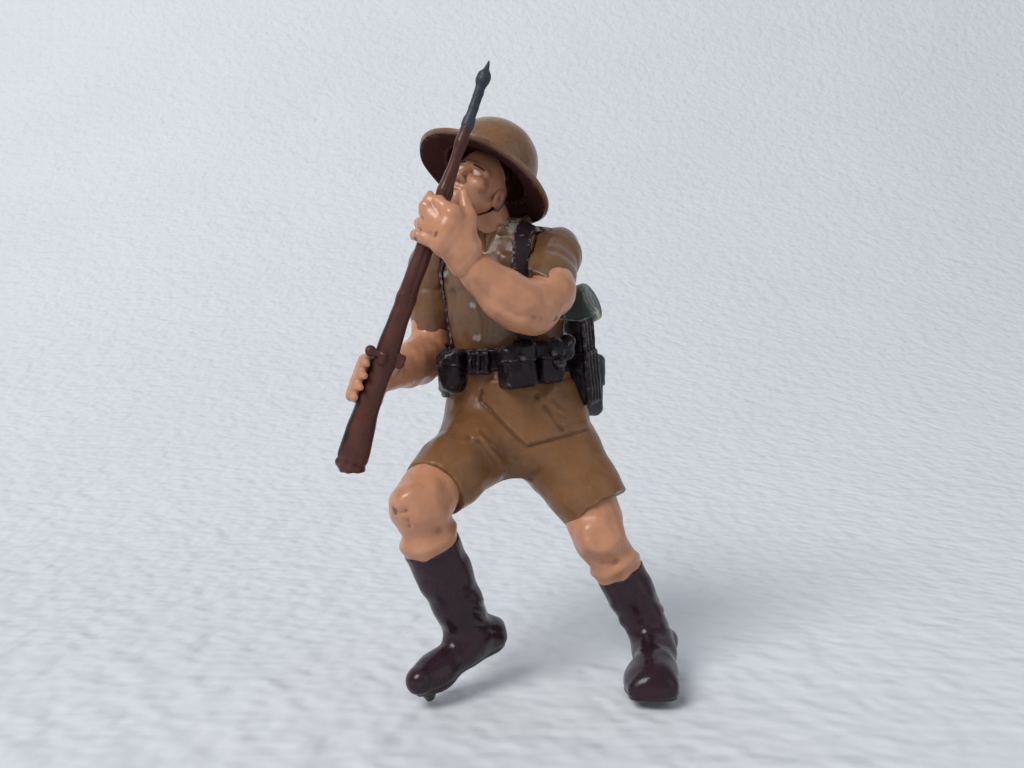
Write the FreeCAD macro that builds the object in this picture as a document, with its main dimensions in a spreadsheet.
"""Toy soldier figure, 54 mm tall, a painted push-together plastic figure.

The figure stands upright: +Z is up, its front faces -Y and its left arm is on the +X side.
The origin is on the sole plane, on the axis of the peg under the right boot.
Left and right are the figure's own. All sizes are millimetres.
"""
import FreeCAD, Part
import math
import os

import Sketcher
from FreeCAD import Placement, Rotation, Vector

# Landmarks of the pose: the middle of each joint, seam or end, as x, y, z
PLACES = {
    "waist": (7.1, 8.5, 31.4),
    "hips": (8.0, 8.3, 25.2),
    "crotch": (7.8, 7.9, 18.8),
    "right_hip": (5.2, 8.4, 24.6),
    "right_hem": (0.55, 0.2, 18.75),
    "right_knee": (-0.35, -1.6, 16.9),
    "right_boot_top": (0.6, 0.1, 12.6),
    "right_ankle": (3.4, 2.6, 5.2),
    "right_heel": (5.9, 4.5, 4.0),
    "right_instep": (2.9, 2.0, 2.9),
    "right_ball": (0.4, -0.3, 1.35),
    "right_toe": (-1.7, -2.5, 1.3),
    "left_hip": (10.4, 8.5, 23.8),
    "left_hem": (15.7, 6.0, 15.9),
    "left_knee": (16.6, 4.9, 13.2),
    "left_boot_top": (18.4, 6.3, 9.2),
    "left_ankle": (21.1, 6.7, 3.6),
    "left_heel": (21.3, 7.3, 1.45),
    "left_instep": (21.0, 4.4, 1.7),
    "left_ball": (20.6, 1.2, 1.2),
    "left_toe": (20.2, -1.9, 0.95),
    "shirt_bottom": (7.0, 8.5, 31.5),
    "collar": (6.1, 7.2, 44.2),
    "neck_foot": (6.0, 7.0, 42.6),
    "head_centre": (4.3, 4.8, 47.0),
    "helmet_top": (7.9, 6.3, 53.05),
    "face_front": (3.04, 1.36, 48.6),
    "left_shoulder": (11.9, 6.0, 40.4),
    "left_elbow": (10.9, -0.4, 34.6),
    "left_wrist": (4.1, -3.9, 39.6),
    "left_palm": (2.0, -4.95, 41.1),
    "left_knuckles": (0.5, -4.95, 42.3),
    "left_thumb_root": (3.6, -4.3, 40.6),
    "left_thumb_bend": (3.75, -4.5, 42.4),
    "left_thumb_tip": (3.3, -4.0, 44.4),
    "right_shoulder": (-0.5, 10.0, 39.3),
    "right_elbow": (-1.9, 10.5, 32.0),
    "right_wrist": (-3.9, 2.9, 29.1),
    "right_palm": (-5.1, 0.5, 28.7),
    "right_knuckles": (-6.5, -0.6, 28.5),
    "right_thumb_root": (-3.6, 1.0, 29.6),
    "right_thumb_tip": (-2.8, -1.4, 30.3),
    "rifle_butt": (-6.3, -2.0, 20.6),
    "rifle_small": (-4.4, -2.05, 27.9),
    "rifle_receiver": (-3.0, -2.3, 32.3),
    "rifle_grip": (0.7, -2.95, 42.1),
    "rifle_nose": (3.6, -3.4, 50.3),
    "rifle_muzzle": (4.75, -3.55, 53.6),
    "bayonet_tip": (5.5, -3.65, 55.9),
    "bedroll_left": (15.8, 12.4, 36.2),
    "bedroll_right": (4.2, 16.0, 32.5),
    "buckle": (4.4, 3.7, 30.0),
    "right_pouch": (1.9, 4.8, 29.2),
    "left_pouch": (9.2, 2.9, 29.8),
    "side_pouch": (14.0, 7.2, 30.3),
    "haversack": (14.0, 12.0, 27.9),
    "bottle": (1.85, 7.3, 28.7),
}

# Sizes of the pieces, across unless the name says otherwise; a turn or lean is in degrees
SIZES = {
    "hip_width": 13.9,
    "hip_depth": 10.0,
    "thigh_width": 8.0,
    "knee_width": 6.1,
    "boot_width": 5.5,
    "foot_width": 4.1,
    "foot_height": 3.9,
    "left_foot_width": 4.6,
    "waist_peg_width": 3.2,
    "waist_peg_length": 2.4,
    "base_peg_width": 1.0,
    "base_peg_length": 0.75,
    "base_peg_root": 1.0,
    "base_peg_root_width": 0.6,
    "belt_height": 2.2,
    "belt_thickness": 0.7,
    "chest_width": 13.0,
    "chest_depth": 9.2,
    "torso_turn": -22.0,
    "neck_width": 3.9,
    "head_height": 7.5,
    "head_width": 5.2,
    "head_depth": 6.2,
    "head_seat_width": 7.0,
    "brim_lift": 0.95,
    "brim_width": 14.0,
    "brim_rise": 1.2,
    "brim_thickness": 0.45,
    "crown_width": 9.7,
    "crown_height": 5.0,
    "helmet_wall": 0.6,
    "helmet_stud_width": 2.2,
    "helmet_stud_grip": 1.4,
    "sleeve_width": 6.0,
    "arm_width": 4.9,
    "shoulder_inset": 1.6,
    "shoulder_peg_width": 1.8,
    "shoulder_peg_length": 1.6,
    "hand_length": 4.4,
    "hand_thickness": 1.8,
    "finger_width": 1.1,
    "finger_pitch": 1.05,
    "left_grip_turn": 190.0,
    "right_grip_turn": 165.0,
    "right_grip_radius": 1.63,
    "thumb_width": 1.15,
    "butt_width": 4.0,
    "stock_thickness": 2.3,
    "barrel_width": 0.8,
    "bayonet_width": 1.15,
    "bolt_width": 0.95,
    "bolt_length": 2.6,
    "bolt_sink": 0.24,
    "bolt_knob_width": 1.1,
    "magazine_length": 2.4,
    "magazine_depth": 0.9,
    "magazine_width": 1.2,
    "magazine_root": 1.33,
    "strap_width": 1.5,
    "strap_thickness": 0.4,
    "right_strap_reach": 4.2,
    "left_strap_reach": 3.5,
    "bedroll_width": 4.4,
    "buckle_width": 2.2,
    "buckle_height": 2.3,
    "buckle_depth": 1.4,
    "buckle_turn": -11.0,
    "right_pouch_width": 2.4,
    "right_pouch_height": 4.2,
    "right_pouch_depth": 2.6,
    "left_pouch_width": 6.0,
    "left_pouch_height": 4.1,
    "left_pouch_depth": 3.2,
    "flap_height": 1.4,
    "flap_lip": 0.25,
    "pouch_bevel": 0.5,
    "side_pouch_width": 2.8,
    "side_pouch_height": 8.6,
    "side_pouch_depth": 2.8,
    "side_pouch_lean": 12.0,
    "side_pouch_turn": 60.0,
    "right_pouch_turn": -28.0,
    "left_pouch_turn": 18.0,
    "right_pouch_lean": 0.0,
    "left_pouch_lean": 8.0,
    "rib_width": 0.34,
    "rib_depth": 0.3,
    "haversack_width": 5.2,
    "haversack_height": 6.4,
    "haversack_depth": 4.4,
    "haversack_turn": 125.0,
    "bottle_width": 4.2,
    "bottle_height": 3.8,
    "bottle_depth": 2.6,
    "bottle_bevel": 1.1,
    "bottle_turn": -62.0,
    "waist_sweep": 6.5,
    "running_gap": 0.08,
    "elbow_clearance": 0.2,
    "peg_clearance": 0.05,
    "overrun": 40.0,
}

# Ring counts and turns that are not lengths
LIMB_SIDES = 10
BODY_SIDES = 14
FINGER_SIDES = 6
FINGER_STATIONS = 5
FINGER_COUNT = 4
CROWN_STEPS = 4
HOLLOW_STEPS = 3
RIB_COUNT = 4

# Station along the limb's places, then width and depth as shares of the limb's size
PELVIS_shares = [(0.0, 0.865, 0.84), (0.45, 0.95, 0.94), (1.0, 1.0, 1.0), (1.5, 0.93, 0.95),
                 (1.8, 0.70, 0.78), (2.0, 0.36, 0.50)]
RIGHT_THIGH_shares = [(0.0, 1.05, 1.05), (0.35, 1.0, 1.0), (0.7, 0.90, 0.90), (1.0, 0.81, 0.81)]
LEFT_THIGH_shares = [(0.0, 1.12, 1.12), (0.4, 1.03, 1.03), (0.75, 0.92, 0.92), (1.0, 0.83, 0.83)]
RIGHT_LEG_shares = [(-0.9, 0.84, 0.84), (-0.05, 0.88, 0.88), (0.5, 0.97, 0.97), (1.0, 1.01, 1.0),
                    (1.4, 0.90, 0.92), (1.75, 0.86, 0.90), (2.0, 0.90, 0.92), (2.3, 0.90, 0.92)]
LEFT_LEG_shares = [(-0.9, 0.84, 0.84), (-0.05, 0.86, 0.86), (0.4, 0.92, 0.92), (1.0, 0.93, 0.95),
                   (1.5, 0.82, 0.86), (2.0, 0.80, 0.82), (2.3, 0.80, 0.82)]
SHAFT_shares = [(0.0, 1.0, 1.02), (0.3, 0.97, 1.0), (0.6, 0.93, 0.93), (0.85, 0.87, 0.88),
                (1.0, 0.80, 0.84), (1.12, 0.55, 0.60)]
LEFT_SHAFT_shares = [(0.0, 0.90, 0.92), (0.3, 0.88, 0.90), (0.6, 0.84, 0.86), (0.85, 0.76, 0.80),
                     (1.0, 0.72, 0.78), (1.12, 0.50, 0.58)]
RIGHT_FOOT_shares = [(-0.16, 0.42, 0.34), (0.0, 0.62, 0.62), (0.45, 0.68, 0.80), (1.0, 0.72, 0.86),
                     (2.0, 0.86, 0.80), (2.55, 0.82, 0.64), (2.9, 0.62, 0.44), (3.05, 0.30, 0.22)]
LEFT_FOOT_shares = [(-0.28, 0.40, 0.42), (0.0, 0.66, 0.78), (0.6, 0.70, 0.95), (1.0, 0.76, 0.98),
                    (2.0, 0.98, 0.74), (2.6, 1.0, 0.60), (2.9, 0.76, 0.46), (3.05, 0.42, 0.28)]
TORSO_shares = [(0.0, 0.88, 0.90), (0.2, 0.93, 0.95), (0.42, 0.99, 1.0), (0.62, 1.0, 0.97),
                (0.78, 0.84, 0.82), (0.9, 0.58, 0.62), (1.0, 0.37, 0.46)]
NECK_shares = [(0.0, 1.0, 1.0), (0.5, 0.97, 0.97), (0.8, 1.0, 1.0)]
SLEEVE_shares = [(-0.34, 0.46, 0.46), (-0.24, 0.80, 0.80), (0.0, 1.0, 1.0), (0.3, 1.02, 1.02),
                 (0.54, 0.97, 0.97)]
ELBOW_shares = [(0.38, 0.96, 0.96), (0.75, 0.98, 0.98), (1.0, 0.96, 0.96), (1.16, 0.72, 0.72),
                (1.25, 0.36, 0.36)]
FOREARM_shares = [(-0.2, 0.40, 0.40), (-0.1, 0.78, 0.78), (0.06, 0.97, 0.97), (0.3, 0.94, 0.94),
                  (0.6, 0.79, 0.79), (0.85, 0.63, 0.63), (1.0, 0.59, 0.59)]
# Up, forward, width and depth as shares of the head's height, depth, width and depth
HEAD_shares = [(-0.50, 0.24, 0.30, 0.22), (-0.43, 0.19, 0.56, 0.48), (-0.27, 0.10, 0.82, 0.78),
               (-0.05, 0.01, 0.94, 0.97), (0.20, 0.0, 1.0, 1.0), (0.38, -0.02, 0.84, 0.84),
               (0.48, -0.02, 0.54, 0.54)]
NOSE_shares = [(0.10, 0.46, 0.12, 0.10), (-0.02, 0.53, 0.18, 0.16), (-0.10, 0.55, 0.22, 0.18),
               (-0.14, 0.48, 0.20, 0.14)]
CEILING_share = 0.95
EAR_shares = {"up": -0.02, "back": 0.04, "height": 0.24, "depth": 0.20, "root": 0.30, "out": 0.56}
STOCK_shares = [(0.0, 0.68, 1.05), (0.12, 0.70, 1.10), (0.6, 0.64, 1.05), (0.92, 0.52, 0.88),
                (1.2, 0.50, 0.84), (1.55, 0.58, 0.92), (2.0, 0.60, 1.0), (2.4, 0.55, 1.0),
                (3.0, 0.50, 0.98), (3.5, 0.40, 0.84), (4.0, 0.31, 0.60)]
BARREL_shares = [(-0.2, 1.0, 1.0), (0.6, 0.95, 0.95), (1.0, 0.9, 0.9)]
BAYONET_shares = [(-0.30, 0.70, 0.60), (-0.1, 1.0, 0.80), (0.15, 0.95, 0.60), (0.6, 0.62, 0.40),
                  (1.0, 0.08, 0.08)]
# The hand from wrist to knuckles: station, then length along the rifle and thickness
PALM_shares = [(0.0, 0.68, 1.45), (0.5, 0.82, 1.25), (1.0, 0.98, 1.0), (1.6, 1.02, 0.92),
               (2.0, 1.0, 0.80)]
RIGHT_PALM_shares = [(0.0, 0.66, 1.40), (0.5, 0.78, 1.2), (1.0, 0.92, 1.0), (1.6, 0.98, 0.9),
                     (2.0, 0.94, 0.75)]

LEFT_THUMB_shares = [(0.0, 1.1, 1.1), (0.6, 1.1, 1.1), (1.0, 1.0, 1.0), (1.7, 0.9, 0.9), (2.0, 0.5, 0.5)]
RIGHT_THUMB_shares = [(-0.3, 1.0, 1.0), (0.3, 1.1, 1.1), (0.8, 0.95, 0.95), (1.0, 0.6, 0.6)]
FINGER_DEPTH_share = 0.92
KNOB_LEAN_share = 0.33
NEAR_share = 0.001
# A direction that no pin of the figure runs along, to lay out each pin's seam
PIN_SIDE = Vector(1, 0.1, 0.01)

doc = FreeCAD.newDocument("ToySoldier")
sheet = doc.addObject("Spreadsheet::Sheet", "Sizes")
parts = {}


def fill_sheet():
    """Put every landmark and size into the spreadsheet, one aliased cell each."""
    cells = dict(SIZES)
    for name, values in PLACES.items():
        for axis, value in zip("xyz", values):
            cells[f"{name}_{axis}"] = value
    for row, (alias, value) in enumerate(cells.items(), start=1):
        sheet.set(f"A{row}", alias)
        sheet.set(f"B{row}", str(value))
        sheet.setAlias(f"B{row}", alias)
    doc.recompute()


def size(alias):
    return float(sheet.get(alias))


def place(name):
    return Vector(size(name + "_x"), size(name + "_y"), size(name + "_z"))


def unit(vector):
    return vector / vector.Length


def share_of(alias, share):
    """An expression for a share of one named size."""
    return f"Sizes.{alias} * {share:.6f}"


def along(path, station):
    """The point at a station of a path of named places, beyond its ends too."""
    index = max(0, min(int(math.floor(station)), len(path) - 2))
    start, end = place(path[index]), place(path[index + 1])
    return start + (end - start) * (station - index)


def keep(name, feature):
    """Label a finished sub-part; its label names its file."""
    feature.Label = name
    parts[name] = feature
    return feature


def frame(origin, up, side):
    """A placement whose z runs along up and whose x lies as near to side as it can."""
    z = unit(up)
    x = unit(side - z * side.dot(z))
    return Placement(origin, Rotation(x, z.cross(x), z, "ZXY"))


def outline(sketch, corners):
    """A closed outline of lines in a sketch; each corner is a pair of expressions."""
    count = len(corners)
    points = [Vector(sheet.evalExpression(across), sheet.evalExpression(along), 0)
              for across, along in corners]
    lines = [Part.LineSegment(points[index - 1], points[index]) for index in range(count)]
    sketch.addGeometry(lines, False)
    rules = [Sketcher.Constraint("Coincident", index, 2, (index + 1) % count, 1) for index in range(count)]
    for index, point in enumerate(points):
        rules.append(Sketcher.Constraint("DistanceX", -1, 1, index, 2, point.x))
        rules.append(Sketcher.Constraint("DistanceY", -1, 1, index, 2, point.y))
    sketch.addConstraint(rules)
    for index, (across, along) in enumerate(corners):
        sketch.setExpression(f"Constraints[{count + 2 * index}]", across)
        sketch.setExpression(f"Constraints[{count + 2 * index + 1}]", along)


def ring(name, placement, half_width, half_depth, sides):
    """A closed ring sketch with its corners on an ellipse of two half sizes."""
    sketch = doc.addObject("Sketcher::SketchObject", name)
    turns = [2 * math.pi * index / sides for index in range(sides)]
    outline(sketch, [(f"({half_width}) * {math.cos(turn):.6f}", f"({half_depth}) * {math.sin(turn):.6f}")
                     for turn in turns])
    sketch.Placement = placement
    return sketch


def upright_sketch(body, name):
    """A sketch on a body's own XZ plane."""
    sketch = body.newObject("Sketcher::SketchObject", name)
    plane = [item for item in body.Origin.OriginFeatures if item.Role == "XZ_Plane"][0]
    sketch.AttachmentSupport = (plane, [""])
    sketch.MapMode = "FlatFace"
    return sketch


def loft(name, rings):
    feature = doc.addObject("Part::Loft", name)
    feature.Sections = rings
    feature.Solid = True
    feature.Ruled = True
    return feature


def tangents(points):
    """The direction of a row of points at each of them."""
    last = len(points) - 1
    return [unit(points[min(index + 1, last)] - points[max(index - 1, 0)]) for index in range(last + 1)]


def bend_side(path):
    """The direction square to the plane that a path bends in, or +X for a straight one."""
    if len(path) < 3:
        return Vector(1, 0, 0)
    start, middle, end = [place(name) for name in path[:3]]
    side = unit((middle - start).cross(end - middle))
    return side if side.x > 0 else side * -1


def limb(name, path, shares, width, depth=None, side=None, up=None, sides=LIMB_SIDES):
    """A tapering form through rings set along a path of named places."""
    side = side or bend_side(path)
    centres = [along(path, station) for station, wide, deep in shares]
    ups = [up] * len(centres) if up else tangents(centres)
    rings = []
    for number, (centre, direction, row) in enumerate(zip(centres, ups, shares)):
        half_width = share_of(width, row[1] / 2)
        half_depth = share_of(depth or width, row[2] / 2)
        rings.append(ring(f"{name}_ring_{number}", frame(centre, direction, side),
                          half_width, half_depth, sides))
    return loft(name, rings)


def fuse(name, *pieces):
    feature = doc.addObject("Part::MultiFuse", name)
    feature.Shapes = list(pieces)
    return feature


def cut(name, base, *tools):
    """Take every tool away from the base, one after another."""
    for number, tool in enumerate(tools):
        feature = doc.addObject("Part::Cut", f"{name}_cut_{number}")
        feature.Base = base
        feature.Tool = tool
        base = feature
    return base


def pin(name, start, direction, width, length):
    """A round pin whose width and length are expressions."""
    feature = doc.addObject("Part::Cylinder", name)
    feature.setExpression("Radius", f"({width}) / 2")
    feature.setExpression("Height", length)
    feature.Placement = frame(start, direction, PIN_SIDE)
    return feature


def beyond(name, point, direction, bottom=None, upward=Vector(0, 0, 1)):
    """A large block on the far side of a plane, from a bottom height up if one is given."""
    block = doc.addObject("Part::Box", name)
    for edge in ("Length", "Width", "Height"):
        block.setExpression(edge, "Sizes.overrun")
    reach = size("overrun")
    placement = frame(point, direction, upward)
    low = -reach / 2 if bottom is None else (bottom - point.z)
    block.Placement = placement.multiply(Placement(Vector(low, -reach / 2, 0), Rotation()))
    return block


def centred(name, depth, turn, lean=0.0):
    """Where a block stands so that its middle is at its landmark, turned and then leaning sideways."""
    spin = Rotation(Vector(0, 0, 1), size(turn)).multiply(Rotation(Vector(0, 1, 0), -lean))
    return Placement(place(name), spin).multiply(Placement(Vector(0, size(depth) / 2, 0), Rotation()))


def block(name, width, height, depth, bevel_size=None):
    """A bevelled block in its own body: width along x, height along z and depth along -y."""
    body = doc.addObject("PartDesign::Body", name)
    sketch = upright_sketch(body, name + "_outline")
    outline(sketch, [(f"({width}) / 2 * {across}", f"({height}) / 2 * {along}")
                     for across, along in ((-1, -1), (1, -1), (1, 1), (-1, 1))])
    pad = body.newObject("PartDesign::Pad", name + "_pad")
    pad.Profile = sketch
    pad.setExpression("Length", depth)
    doc.recompute()
    if bevel_size:
        bevel = body.newObject("PartDesign::Chamfer", name + "_bevel")
        front = min(pad.Shape.Faces, key=lambda face: face.CenterOfMass.y)
        edges = [f"Edge{number}" for number, edge in enumerate(pad.Shape.Edges, start=1)
                 if abs(edge.CenterOfMass.y - front.CenterOfMass.y) < edge.Length * NEAR_share
                 or abs(edge.Length - pad.Length.Value) < edge.Length * NEAR_share]
        bevel.Base = (pad, edges)
        bevel.setExpression("Size", bevel_size)
    return body


def torso_left():
    """The shirt's own left direction."""
    turn = math.radians(size("torso_turn"))
    return Vector(math.cos(turn), math.sin(turn), 0)


def shoulder_axis():
    return unit(place("left_shoulder") - place("right_shoulder"))


def head_axes():
    """The head's up, front and left directions."""
    up = unit(place("helmet_top") - place("head_centre"))
    front = place("face_front") - place("head_centre")
    front = unit(front - up * front.dot(up))
    return up, front, up.cross(front)


def rifle_up():
    return unit(place("rifle_nose") - place("rifle_receiver"))


def make_legs():
    """Shorts with the waist peg, two bare legs, two boots and the stub of the base peg."""
    level = Vector(0, 0, 1)
    pelvis = limb("pelvis", ["waist", "hips", "crotch"], PELVIS_shares, "hip_width", "hip_depth",
                  side=Vector(1, 0, 0), up=level, sides=BODY_SIDES)
    right = limb("right_thigh", ["right_hip", "right_hem"], RIGHT_THIGH_shares, "thigh_width")
    left = limb("left_thigh", ["left_hip", "left_hem"], LEFT_THIGH_shares, "thigh_width")
    peg = pin("waist_peg", place("waist") - level * size("waist_peg_length"), level,
              "Sizes.waist_peg_width", "2 * Sizes.waist_peg_length")
    shorts = keep("shorts", fuse("shorts_form", pelvis, right, left, peg))

    for side, shares in (("right", RIGHT_LEG_shares), ("left", LEFT_LEG_shares)):
        hip, hem, boot_top, ankle = [place(f"{side}_{joint}") for joint in
                                     ("hip", "hem", "boot_top", "ankle")]
        leg = limb(f"{side}_leg_form", [f"{side}_hem", f"{side}_knee", f"{side}_boot_top"],
                   shares, "knee_width")
        above = beyond(f"{side}_hem_plane", hem, hip - hem)
        below = beyond(f"{side}_boot_plane", boot_top, ankle - boot_top, upward=Vector(1, 0, 0))
        keep(f"{side}_leg", cut(f"{side}_leg", leg, above, below))

    peg = fuse("base_peg_form",
               pin("base_peg_stub", Vector(0, 0, -size("base_peg_length")), level,
                   "Sizes.base_peg_width", "Sizes.base_peg_length"),
               pin("base_peg_shank", Vector(0, 0, -size("base_peg_length") / 2), level,
                   "Sizes.base_peg_root_width", "Sizes.base_peg_length / 2 + Sizes.base_peg_root"))
    keep("base_peg", peg)
    ground = beyond("ground", Vector(0, 0, 0), level * -1, upward=Vector(1, 0, 0))

    shaft = limb("right_shaft", ["right_boot_top", "right_ankle"], SHAFT_shares, "boot_width")
    stride = place("right_toe") - place("right_heel")
    foot = limb("right_foot", ["right_heel", "right_instep", "right_ball", "right_toe"],
                RIGHT_FOOT_shares, "foot_width", "foot_height", side=stride.cross(level))
    boot = fuse("right_boot_form", shaft, foot)
    keep("right_boot", cut("right_boot", boot, ground, peg))

    shaft = limb("left_shaft", ["left_boot_top", "left_ankle"], LEFT_SHAFT_shares, "boot_width")
    foot = limb("left_foot", ["left_heel", "left_instep", "left_ball", "left_toe"],
                LEFT_FOOT_shares, "left_foot_width", "foot_height")
    boot = fuse("left_boot_form", shaft, foot)
    keep("left_boot", cut("left_boot", boot, ground))


def make_belt():
    """The belt with its buckle and everything that hangs on it."""
    level = Vector(0, 0, 1)
    shorts = parts["shorts"]
    rings = []
    for number, drop in enumerate((0, 1)):
        centre = place("waist") - level * size("belt_height") * drop
        share = PELVIS_shares[0]
        spread = " + Sizes.belt_thickness"
        rings.append(ring(f"belt_ring_{number}", frame(centre, level, Vector(1, 0, 0)),
                          share_of("hip_width", share[1] / 2) + spread,
                          share_of("hip_depth", share[2] / 2) + spread, BODY_SIDES))
    belt = keep("belt", cut("belt", loft("belt_form", rings), shorts))

    buckle = block("buckle_block", "Sizes.buckle_width", "Sizes.buckle_height", "Sizes.buckle_depth",
                   "Sizes.pouch_bevel / 2")
    buckle.Placement = centred("buckle", "buckle_depth", "buckle_turn")
    keep("belt_buckle", cut("belt_buckle", buckle, belt, shorts))

    swept = pin("waist_clearance", place("waist"), level, "2 * Sizes.waist_sweep", "Sizes.overrun")
    buckle = parts["belt_buckle"]
    for side in ("right", "left"):
        pouch = block(f"{side}_pouch_block", f"Sizes.{side}_pouch_width", f"Sizes.{side}_pouch_height",
                      f"Sizes.{side}_pouch_depth", "Sizes.pouch_bevel")
        flap = block(f"{side}_flap_block", f"Sizes.{side}_pouch_width + 2 * Sizes.flap_lip",
                     "Sizes.flap_height", f"Sizes.{side}_pouch_depth + Sizes.flap_lip",
                     "Sizes.flap_lip")
        stand = centred(f"{side}_pouch", f"{side}_pouch_depth", f"{side}_pouch_turn",
                        size(f"{side}_pouch_lean"))
        rise = (size(f"{side}_pouch_height") - size("flap_height")) / 2
        pouch.Placement = stand
        flap.Placement = stand.multiply(Placement(Vector(0, 0, rise), Rotation()))
        whole = fuse(f"{side}_pouch_form", pouch, flap)
        keep(f"{side}_ammo_pouch", cut(f"{side}_ammo_pouch", whole, belt, shorts, buckle, swept))

    ribbed = make_ribbed_pouch()
    keep("side_pouch", cut("side_pouch", ribbed, belt, shorts, parts["left_ammo_pouch"], swept))

    sack = block("haversack_block", "Sizes.haversack_width", "Sizes.haversack_height",
                 "Sizes.haversack_depth", "Sizes.pouch_bevel * 2")
    sack.Placement = centred("haversack", "haversack_depth", "haversack_turn")
    keep("haversack", cut("haversack", sack, belt, shorts, parts["side_pouch"]))

    bottle = block("bottle_block", "Sizes.bottle_width", "Sizes.bottle_height",
                   "Sizes.bottle_depth", "Sizes.bottle_bevel")
    bottle.Placement = centred("bottle", "bottle_depth", "bottle_turn")
    keep("water_bottle", cut("water_bottle", bottle, belt, shorts, parts["right_ammo_pouch"]))


def make_ribbed_pouch():
    """The tall pouch on the left hip, with upright ribs on its outer face."""
    stand = centred("side_pouch", "side_pouch_depth", "side_pouch_turn", size("side_pouch_lean"))
    pouch = block("side_pouch_block", "Sizes.side_pouch_width", "Sizes.side_pouch_height",
                  "Sizes.side_pouch_depth", "Sizes.pouch_bevel")
    pouch.Placement = stand
    ribs = []
    pitch = size("side_pouch_width") / RIB_COUNT
    for number in range(RIB_COUNT):
        rib = doc.addObject("Part::Box", f"rib_{number}")
        rib.setExpression("Length", "Sizes.rib_width")
        rib.setExpression("Width", "Sizes.rib_depth * 2")
        rib.setExpression("Height", "Sizes.side_pouch_height - 2 * Sizes.pouch_bevel")
        corner = Vector((number + 0.5) * pitch - (size("side_pouch_width") + size("rib_width")) / 2,
                        -size("side_pouch_depth") - size("rib_depth"),
                        size("pouch_bevel") - size("side_pouch_height") / 2)
        rib.Placement = stand.multiply(Placement(corner, Rotation()))
        ribs.append(rib)
    return fuse("side_pouch_form", pouch, *ribs)


def torso_form(name, extra=None):
    """The shirt's outer form, or one thicker all round by an expression."""
    path = ["shirt_bottom", "collar"]
    rings = []
    for number, (station, wide, deep) in enumerate(TORSO_shares):
        spread = f" + {extra}" if extra else ""
        rings.append(ring(f"{name}_ring_{number}", frame(along(path, station), Vector(0, 0, 1), torso_left()),
                          share_of("chest_width", wide / 2) + spread,
                          share_of("chest_depth", deep / 2) + spread, BODY_SIDES))
    return loft(name, rings)


def shoulder_plane(side):
    """The middle of the flat seat between shirt and sleeve, and its outward direction."""
    outward = shoulder_axis() if side == "left" else shoulder_axis() * -1
    return place(f"{side}_shoulder") - outward * size("shoulder_inset"), outward


def make_torso():
    """The shirt with its sockets, the neck, the webbing braces and the bedroll."""
    level = Vector(0, 0, 1)
    body = torso_form("torso_form")
    seats = []
    tools = []
    for side in ("left", "right"):
        seat, outward = shoulder_plane(side)
        hem = along([f"{side}_shoulder", f"{side}_elbow"], SLEEVE_shares[-1][0])
        seats.append(beyond(f"{side}_seat_cut", seat, outward, bottom=hem.z - size("sleeve_width") / 2))
        depth = size("shoulder_peg_length") + 2 * size("running_gap")
        tools.append(pin(f"{side}_shoulder_bore", seat - outward * depth, outward,
                         "Sizes.shoulder_peg_width + 2 * Sizes.peg_clearance",
                         "Sizes.shoulder_peg_length + Sizes.overrun"))
    tools.append(pin("waist_bore", place("waist") - level * size("waist_peg_length"), level,
                     "Sizes.waist_peg_width + 2 * Sizes.peg_clearance",
                     "2 * Sizes.waist_peg_length + 2 * Sizes.running_gap"))
    neck = limb("neck_form", ["neck_foot", "head_centre"], NECK_shares, "neck_width", side=torso_left())
    seat = doc.addObject("Part::Sphere", "head_seat")
    seat.setExpression("Radius", "Sizes.head_seat_width / 2 + Sizes.running_gap")
    seat.Placement = Placement(place("head_centre"), Rotation())
    neck = keep("neck", cut("neck", neck, seat))
    shirt = keep("shirt", cut("shirt", body, *seats, *tools, neck, seat))

    torso_form("elbow_shell", "Sizes.strap_thickness + Sizes.elbow_clearance")
    outer = torso_form("strap_shell", "Sizes.strap_thickness")
    for side, sign in (("right", -1), ("left", 1)):
        slab = doc.addObject("Part::Box", f"{side}_strap_slab")
        slab.setExpression("Length", "Sizes.strap_width")
        slab.setExpression("Width", "Sizes.overrun")
        slab.setExpression("Height", "Sizes.overrun")
        reach = size(f"{side}_strap_reach") * sign
        corner = Vector(reach - size("strap_width") / 2, -size("overrun") / 2, 0)
        turned = Placement(place("shirt_bottom"), Rotation(level, size("torso_turn")))
        slab.Placement = turned.multiply(Placement(corner, Rotation()))
        band = doc.addObject("Part::Common", f"{side}_strap_band")
        band.Base = outer
        band.Tool = slab
        keep(f"{side}_brace", cut(f"{side}_brace", band, body, parts["neck"], *seats))

    start, end = place("bedroll_right"), place("bedroll_left")
    roll = doc.addObject("Part::Cylinder", "bedroll_form")
    roll.setExpression("Radius", "Sizes.bedroll_width / 2")
    roll.Height = (end - start).Length
    roll.Placement = frame(start, end - start, level)
    keep("bedroll", cut("bedroll", roll, shirt, parts["right_brace"], parts["left_brace"]))


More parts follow.
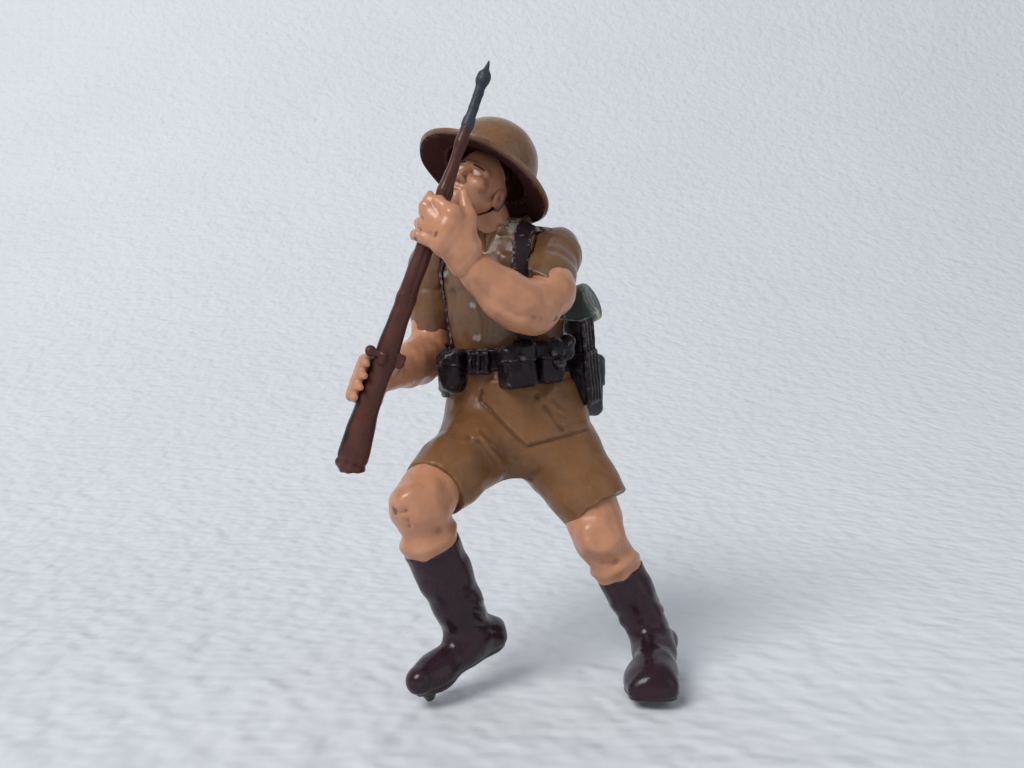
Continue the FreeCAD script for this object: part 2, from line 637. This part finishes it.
def make_head():
    """The head, built along its own tilted axis, with nose, ears and the helmet's hole."""
    up, face, leftward = head_axes()
    centre = place("head_centre")
    height, depth = size("head_height"), size("head_depth")
    rings = []
    for number, (rise, forward, wide, deep) in enumerate(HEAD_shares):
        middle = centre + up * (height * rise) + face * (depth * forward)
        rings.append(ring(f"skull_ring_{number}", frame(middle, up, leftward),
                          share_of("head_width", wide / 2), share_of("head_depth", deep / 2), LIMB_SIDES))
    skull = loft("skull", rings)
    rings = []
    for number, (rise, forward, wide, deep) in enumerate(NOSE_shares):
        middle = centre + up * (height * rise) + face * (depth * (forward - deep / 2))
        rings.append(ring(f"nose_ring_{number}", frame(middle, up, leftward),
                          share_of("head_width", wide / 2), share_of("head_depth", deep), FINGER_SIDES))
    nose = loft("nose", rings)
    ears = []
    for side, sign in (("left", 1), ("right", -1)):
        middle = centre + up * (height * EAR_shares["up"]) - face * (depth * EAR_shares["back"])
        outline = [ring(f"{side}_ear_ring_{number}",
                        frame(middle + leftward * (sign * size("head_width") * out), leftward * sign, up),
                        share_of("head_height", EAR_shares["height"] / 2),
                        share_of("head_depth", EAR_shares["depth"] / 2), FINGER_SIDES)
                   for number, out in enumerate((EAR_shares["root"], EAR_shares["out"]))]
        ears.append(loft(f"{side}_ear", outline))
    depth = size("brim_lift") + sheet.evalExpression(stud_bottom()) - size("running_gap")
    hole = pin("stud_hole", centre + up * depth, up,
               "Sizes.helmet_stud_width + 2 * Sizes.peg_clearance", "Sizes.overrun")
    keep("head", cut("head", fuse("head_form", skull, nose, *ears), hole))


def stud_bottom():
    """How far the helmet's stud reaches below the head's top, from the brim plane."""
    top = HEAD_shares[-1][0]
    return f"(Sizes.head_height * {top} - Sizes.brim_lift - Sizes.helmet_stud_grip)"


def helmet_profile():
    """Half outline of the helmet in expressions: out from the axis, and up from the brim."""
    crown, wall, brim = "Sizes.crown_width / 2", "Sizes.helmet_wall", "Sizes.brim_width / 2"
    rise, height, thick = "Sizes.brim_rise", "Sizes.crown_height", "Sizes.brim_thickness"
    stud = "Sizes.helmet_stud_width / 2"
    corners = [(brim, "0"), (brim, thick)]
    for step in range(CROWN_STEPS):
        turn = math.pi / 2 * step / CROWN_STEPS
        corners.append((f"{crown} * {math.cos(turn):.6f}", f"{rise} + {height} * {math.sin(turn):.6f}"))
    corners.append(("0", f"{rise} + {height}"))
    corners.append(("0", stud_bottom()))
    corners.append((stud, stud_bottom()))
    corners.append((stud, f"{rise} + ({height} - {wall}) * {CEILING_share}"))
    for step in reversed(range(HOLLOW_STEPS)):
        turn = math.pi / 2 * step / HOLLOW_STEPS
        corners.append((f"({crown} - {wall}) * {math.cos(turn):.6f}",
                        f"{rise} - {thick} / 2 + ({height} - {wall}) * {math.sin(turn):.6f}"))
    return corners


def make_helmet():
    """The helmet: a thin revolved shell with a wide brim and a stud that plugs into the head."""
    up, _, leftward = head_axes()
    body = doc.addObject("PartDesign::Body", "helmet_body")
    sketch = upright_sketch(body, "helmet_outline")
    outline(sketch, helmet_profile())
    turning = body.newObject("PartDesign::Revolution", "helmet_turning")
    turning.Profile = sketch
    turning.ReferenceAxis = (sketch, ["V_Axis"])
    turning.Angle = 360
    body.Placement = frame(place("head_centre") + up * size("brim_lift"), up, leftward)
    keep("helmet", body)


def make_arm(side):
    """A sleeve with its shoulder peg, and the bare forearm that runs out of it."""
    seat, outward = shoulder_plane(side)
    path = [f"{side}_shoulder", f"{side}_elbow"]
    sleeve = limb(f"{side}_sleeve_form", path, SLEEVE_shares, "sleeve_width")
    inboard = beyond(f"{side}_inboard", seat + outward * size("running_gap"), outward * -1)
    peg = pin(f"{side}_shoulder_peg", seat - outward * size("shoulder_peg_length"), outward,
              "Sizes.shoulder_peg_width", "Sizes.shoulder_peg_length + Sizes.shoulder_inset")
    whole = fuse(f"{side}_sleeve_whole", cut(f"{side}_sleeve_flat", sleeve, inboard), peg)
    sleeve = keep(f"{side}_sleeve", whole)
    upper = limb(f"{side}_elbow_form", path, ELBOW_shares, "arm_width")
    lower = limb(f"{side}_forearm_form", [f"{side}_elbow", f"{side}_wrist"], FOREARM_shares,
                 "arm_width", side=Vector(0, 0, 1))
    arm = fuse(f"{side}_arm_form", upper, lower)
    keep(f"{side}_forearm", cut(f"{side}_forearm", arm, sleeve, doc.getObject("elbow_shell")))


def finger(name, middle, start, toward, axis, turn, radius):
    """A finger bent round an axis: from the start direction, turning toward another."""
    steps = [turn * step / (FINGER_STATIONS - 1) for step in range(FINGER_STATIONS)]
    centres = [middle + (start * math.cos(angle) + toward * math.sin(angle)) * radius for angle in steps]
    rings = []
    for number, (centre, direction) in enumerate(zip(centres, tangents(centres))):
        rings.append(ring(f"{name}_ring_{number}", frame(centre, direction, axis),
                          "Sizes.finger_width / 2", share_of("finger_width", FINGER_DEPTH_share / 2),
                          FINGER_SIDES))
    return loft(name, rings)


def make_left_hand():
    """The hand in front of the rifle, its fingers round the far side and its thumb up."""
    axis = rifle_up()
    palm = limb("left_palm_form", ["left_wrist", "left_palm", "left_knuckles"], PALM_shares,
                "hand_length", "hand_thickness", side=axis)
    front = Vector(0, -1, 0)
    front = unit(front - axis * front.dot(axis))
    outer = axis.cross(front)
    radius = size("stock_thickness") / 2 + size("finger_width") / 2 + size("running_gap")
    fingers = []
    for number in range(FINGER_COUNT):
        shift = (number - (FINGER_COUNT - 1) / 2) * size("finger_pitch")
        middle = place("rifle_grip") + axis * shift
        fingers.append(finger(f"left_finger_{number}", middle, front, outer * -1, axis,
                              math.radians(size("left_grip_turn")), radius))
    thumb = limb("left_thumb", ["left_thumb_root", "left_thumb_bend", "left_thumb_tip"],
                 LEFT_THUMB_shares, "thumb_width", sides=FINGER_SIDES)
    hand = fuse("left_hand_form", palm, thumb, *fingers)
    keep("left_hand", cut("left_hand", hand, parts["left_forearm"], stock_clearance()))


def stock_clearance():
    """The stock's form, larger by the running gap, which the loose hand is hollowed by."""
    path = ["rifle_butt", "rifle_small", "rifle_receiver", "rifle_grip", "rifle_nose"]
    centres = [along(path, station) for station, wide, deep in STOCK_shares]
    rings = []
    for number, (centre, direction, row) in enumerate(zip(centres, tangents(centres), STOCK_shares)):
        rings.append(ring(f"clearance_ring_{number}", frame(centre, direction, Vector(1, 0, 0)),
                          share_of("butt_width", row[1] / 2) + " + Sizes.running_gap",
                          share_of("stock_thickness", row[2] / 2) + " + Sizes.running_gap", LIMB_SIDES))
    return loft("stock_clearance", rings)


def make_rifle():
    """Stock, barrel, bolt, magazine and bayonet, all on the right arm's body."""
    path = ["rifle_butt", "rifle_small", "rifle_receiver", "rifle_grip", "rifle_nose"]
    stock = keep("rifle_stock", limb("rifle_stock_form", path, STOCK_shares, "butt_width",
                                     "stock_thickness"))
    barrel = limb("rifle_barrel_form", ["rifle_nose", "rifle_muzzle"], BARREL_shares, "barrel_width",
                  sides=FINGER_SIDES)
    barrel = keep("rifle_barrel", cut("rifle_barrel", barrel, stock))
    blade = limb("bayonet_form", ["rifle_muzzle", "bayonet_tip"], BAYONET_shares, "bayonet_width",
                 sides=FINGER_SIDES)
    keep("bayonet", cut("bayonet", blade, barrel, stock))

    axis = rifle_up()
    front = unit(Vector(0, -1, 0) - axis * Vector(0, -1, 0).dot(axis))
    top = axis.cross(front)
    start = place("rifle_receiver") + front * (size("stock_thickness") / 2 - size("bolt_sink"))
    bolt = pin("bolt_body", start, axis, "Sizes.bolt_width", "Sizes.bolt_length")
    sight = top if top.x < 0 else top * -1
    knob = pin("bolt_knob", start + axis * (size("bolt_knob_width") / 2), sight + front * KNOB_LEAN_share,
               "Sizes.bolt_knob_width", "Sizes.butt_width / 2")
    keep("rifle_bolt", cut("rifle_bolt", fuse("bolt_form", bolt, knob), stock))

    box = block("magazine_block", "Sizes.magazine_width", "Sizes.magazine_length",
                "Sizes.magazine_root + Sizes.magazine_depth")
    under = top * -1 if top.x > 0 else top
    box.Placement = Placement(place("rifle_receiver") - axis * size("magazine_length") / 2,
                              Rotation(axis.cross(under * -1), under, axis, "ZXY"))
    keep("rifle_magazine", cut("rifle_magazine", box, stock, parts["rifle_bolt"]))


def make_right_hand():
    """The hand behind the small of the butt, with its fingers round the far side."""
    axis = unit(place("rifle_receiver") - place("rifle_butt"))
    palm = limb("right_palm_form", ["right_wrist", "right_palm", "right_knuckles"],
                RIGHT_PALM_shares, "hand_length", "hand_thickness", side=axis)
    back = Vector(0, 1, 0)
    back = unit(back - axis * back.dot(axis))
    outer = axis.cross(back)
    fingers = []
    for number in range(FINGER_COUNT):
        shift = (number - (FINGER_COUNT - 1) / 2) * size("finger_pitch")
        middle = place("rifle_small") + axis * shift
        fingers.append(finger(f"right_finger_{number}", middle, back, outer, axis,
                              math.radians(size("right_grip_turn")), size("right_grip_radius")))
    thumb = limb("right_thumb", ["right_thumb_root", "right_thumb_tip"], RIGHT_THUMB_shares,
                 "thumb_width", side=axis, sides=FINGER_SIDES)
    hand = fuse("right_hand_form", palm, thumb, *fingers)
    keep("right_hand", cut("right_hand", hand, parts["right_forearm"], parts["rifle_stock"]))


def check_and_export():
    """Stop if anything failed, then write one STEP file for each sub-part."""
    doc.recompute()
    for item in doc.Objects:
        if "Invalid" in item.State or "Error" in item.State:
            raise RuntimeError(f"{item.Name} failed: {item.State}")
    os.makedirs("parts", exist_ok=True)
    for name, feature in parts.items():
        shape = feature.Shape
        if shape.isNull() or not shape.isValid() or not shape.Solids:
            raise RuntimeError(f"{name} has no valid shape")
        print(f"{name}: {len(shape.Solids)} solid, {shape.Volume:.2f} mm3")
        shape.exportStep(f"parts/{name}.step")


fill_sheet()
make_legs()
make_belt()
make_torso()
make_head()
make_helmet()
make_arm("left")
make_arm("right")
make_rifle()
make_left_hand()
make_right_hand()
check_and_export()
